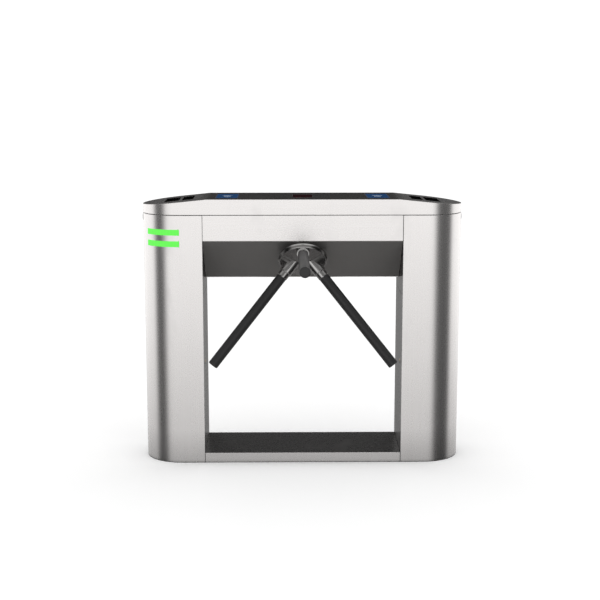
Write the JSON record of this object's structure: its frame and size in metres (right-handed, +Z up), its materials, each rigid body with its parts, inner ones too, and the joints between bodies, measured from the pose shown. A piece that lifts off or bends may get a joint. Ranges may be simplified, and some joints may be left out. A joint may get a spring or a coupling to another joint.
{
  "type": "tripod turnstile",
  "caption": "Bridge-type visitor turnstile with round-ended steel pillars, a header with a hinged top cover, card readers and a leaning three-arm hub.",
  "frame": {"origin": "on the floor, in the middle of the footprint", "axes": "+X along the length, away from the light bars; -Y towards the lane that the arms block; +Z up"},
  "size_m": [1.2032, 0.7745, 1.0003],
  "materials": {
    "satin_steel": "satin stainless sheet with fine vertical grain",
    "shaded_steel": "satin stainless sheet that faces down",
    "chrome": "polished",
    "machined_steel": "turned and ground",
    "zinc_steel": "zinc plated",
    "cast_housing": "cast and painted grey",
    "black_sleeve": "matte black sleeve",
    "black_plastic": "moulded black",
    "black_glass": "gloss black window",
    "blue_pad": "gloss blue reader face",
    "display_red": "dark red display filter",
    "green_light": "glowing green diffuser",
    "circuit_board": "green solder mask",
    "coil_copper": "varnished copper winding",
    "spring_steel": "bright spring wire",
    "gasket_rubber": "soft black foam rubber"
  },
  "bodies": {
    "cabinet": {"base_plate": "zinc_steel", "floor_rail": "satin_steel", "left_pillar_shell": "satin_steel", "right_pillar_shell": "satin_steel", "left_inner_panel": "satin_steel", "right_inner_panel": "satin_steel", "header_front_panel": "satin_steel", "header_rear_panel": "satin_steel", "hub_panel": "shaded_steel", "top_frame": "zinc_steel", "lid_gasket": "gasket_rubber", "mechanism_frame": "zinc_steel", "bearing_housing": "cast_housing", "housing_bolts": "zinc_steel", "bearing_outer_rings": "machined_steel", "mechanism_pivots": "machined_steel", "return_springs": "spring_steel", "damper": "cast_housing", "position_sensors": "black_plastic", "solenoids": "coil_copper", "control_board": "circuit_board", "power_supply": "zinc_steel", "wiring_harness": "black_plastic", "status_light_bars": "green_light", "status_light_board": "circuit_board", "lid_hinge_leaves": "satin_steel", "lid_hinge_pins": "machined_steel"},
    "top_cover": {"lid": "satin_steel", "lid_hinge_straps": "satin_steel", "indicator_windows": "black_glass", "scanner_windows": "black_glass", "reader_pads": "blue_pad", "reader_modules": "black_plastic", "counter_window": "display_red", "counter_board": "circuit_board"},
    "tripod": {"hub": "chrome", "main_shaft": "machined_steel", "hub_bolt": "zinc_steel", "bearing_inner_rings": "machined_steel", "index_cam": "machined_steel", "lock_wheel": "machined_steel", "encoder_disc": "black_plastic", "arm_tubes": "machined_steel", "arm_collars": "chrome", "arm_sleeves": "black_sleeve", "arm_end_caps": "black_plastic", "arm_clamp_screws": "black_plastic"},
    "ball_sets": {"bearing_balls": "chrome"},
    "lever": {"index_lever": "machined_steel"},
    "roller": {"index_roller": "machined_steel"},
    "pawl_left": {"left_pawl": "machined_steel"},
    "pawl_right": {"right_pawl": "machined_steel"},
    "plunger_left": {"left_plunger": "machined_steel"},
    "plunger_right": {"right_plunger": "machined_steel"},
    "door_left": {"left_door": "satin_steel"},
    "door_right": {"right_door": "satin_steel"},
    "door_lock_left": {"left_door_lock": "chrome"},
    "door_lock_right": {"right_door_lock": "chrome"},
    "lid_lock_left": {"left_lid_lock": "chrome"},
    "lid_lock_right": {"right_lid_lock": "chrome"}
  },
  "joints": [
    {"name": "tripod_spin", "type": "hinge", "parent": "cabinet", "child": "tripod", "pos_m": [0, -0.08, 0.804], "axis": [0, -0.7071, -0.7071], "continuous": true},
    {"name": "ball_orbit", "type": "hinge", "parent": "cabinet", "child": "ball_sets", "pos_m": [0, -0.08, 0.804], "axis": [0, -0.7071, -0.7071], "continuous": true},
    {"name": "lever_swing", "type": "hinge", "parent": "cabinet", "child": "lever", "pos_m": [-0.068, 0.02713, 0.8291], "axis": [0, 0.7071, 0.7071], "range_deg": [-4.5, 0]},
    {"name": "roller_spin", "type": "hinge", "parent": "lever", "child": "roller", "pos_m": [0, 0.01864, 0.82274], "axis": [0, 0.7071, 0.7071], "continuous": true},
    {"name": "left_pawl_turn", "type": "hinge", "parent": "cabinet", "child": "pawl_left", "pos_m": [-0.066, 0.03172, 0.83794], "axis": [0, 0.7071, 0.7071], "range_deg": [0, 6.5]},
    {"name": "left_plunger_pull", "type": "slide", "parent": "cabinet", "child": "plunger_left", "axis": [0, -0.7071, 0.7071], "range_m": [0, 0.0036]},
    {"name": "right_pawl_turn", "type": "hinge", "parent": "cabinet", "child": "pawl_right", "pos_m": [0.066, 0.03172, 0.83794], "axis": [0, -0.7071, -0.7071], "range_deg": [0, 6.5]},
    {"name": "right_plunger_pull", "type": "slide", "parent": "cabinet", "child": "plunger_right", "axis": [0, -0.7071, 0.7071], "range_m": [0, 0.0036]},
    {"name": "cover_open", "type": "hinge", "parent": "cabinet", "child": "top_cover", "pos_m": [0, 0.145, 0.9426], "axis": [-1, 0, 0], "range_deg": [0, 80]},
    {"name": "left_cover_lock_turn", "type": "hinge", "parent": "cabinet", "child": "lid_lock_left", "pos_m": [-0.6, 0, 0.925], "axis": [-1, 0, 0], "range_deg": [0, 90]},
    {"name": "right_cover_lock_turn", "type": "hinge", "parent": "cabinet", "child": "lid_lock_right", "pos_m": [0.6, 0, 0.925], "axis": [-1, 0, 0], "range_deg": [0, 90]},
    {"name": "left_door_open", "type": "hinge", "parent": "cabinet", "child": "door_left", "pos_m": [-0.376, 0.078, 0.38], "axis": [0, 0, 1], "range_deg": [0, 100]},
    {"name": "right_door_open", "type": "hinge", "parent": "cabinet", "child": "door_right", "pos_m": [0.376, 0.078, 0.38], "axis": [0, 0, -1], "range_deg": [0, 100]},
    {"name": "left_door_lock_turn", "type": "hinge", "parent": "door_left", "child": "door_lock_left", "pos_m": [-0.371, -0.068, 0.38], "axis": [1, 0, 0], "range_deg": [0, 90]},
    {"name": "right_door_lock_turn", "type": "hinge", "parent": "door_right", "child": "door_lock_right", "pos_m": [0.371, -0.068, 0.38], "axis": [1, 0, 0], "range_deg": [0, 90]}
  ],
  "couplings": [
    {"joint": "ball_orbit", "follows": "tripod_spin", "ratio": 0.3961},
    {"joint": "left_plunger_pull", "follows": "left_pawl_turn", "m_per_rad": 0.031},
    {"joint": "right_plunger_pull", "follows": "right_pawl_turn", "m_per_rad": 0.031}
  ]
}
